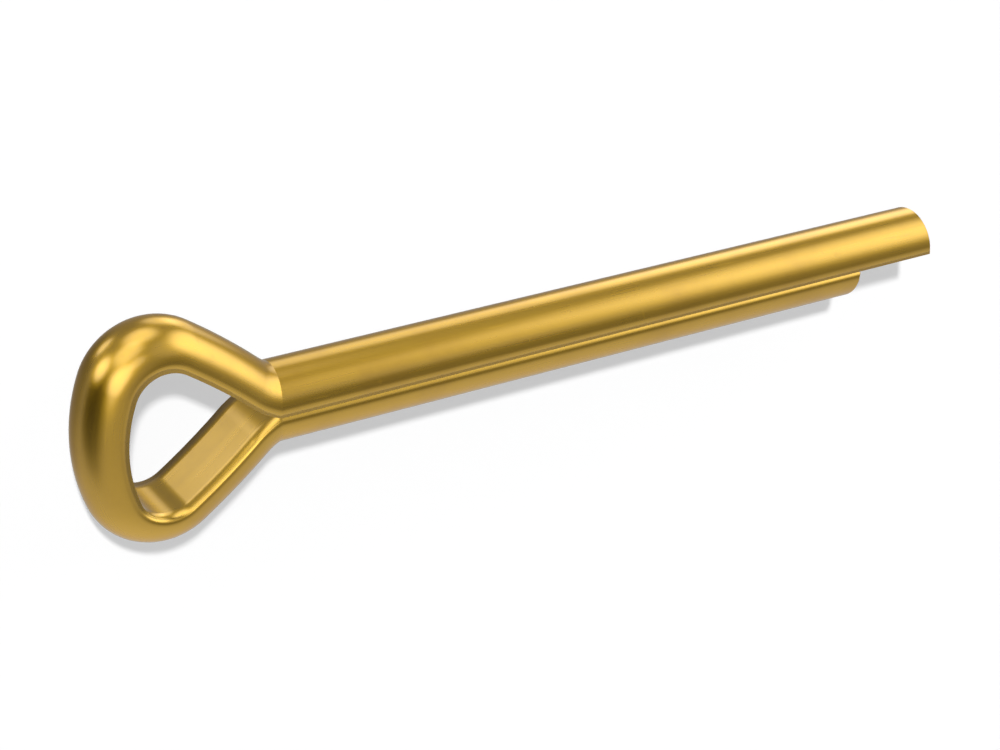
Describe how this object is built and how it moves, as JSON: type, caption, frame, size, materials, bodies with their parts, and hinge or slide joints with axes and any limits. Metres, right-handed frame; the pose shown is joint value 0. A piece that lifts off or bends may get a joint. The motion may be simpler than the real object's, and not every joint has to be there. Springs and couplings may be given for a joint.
{
  "type": "cotter pin",
  "caption": "Split pin folded from half-round wire, with a rounded triangular eye at one end and parallel legs of unequal length that close to a round shank.",
  "frame": {"origin": "on the axis of the closed shank, where the straight legs end and the bends begin", "axes": "+X along the shank from the eye to the cut ends of the legs, +Y towards the long leg in the plane of the eye, +Z across the width of the wire, which is up as the pin lies"},
  "size_m": [0.0573, 0.0132, 0.0046],
  "materials": {
    "brass_wire": "smooth satin-polished drawn wire"
  },
  "bodies": {
    "root": {"cotter_pin": "brass_wire"}
  },
  "joints": []
}
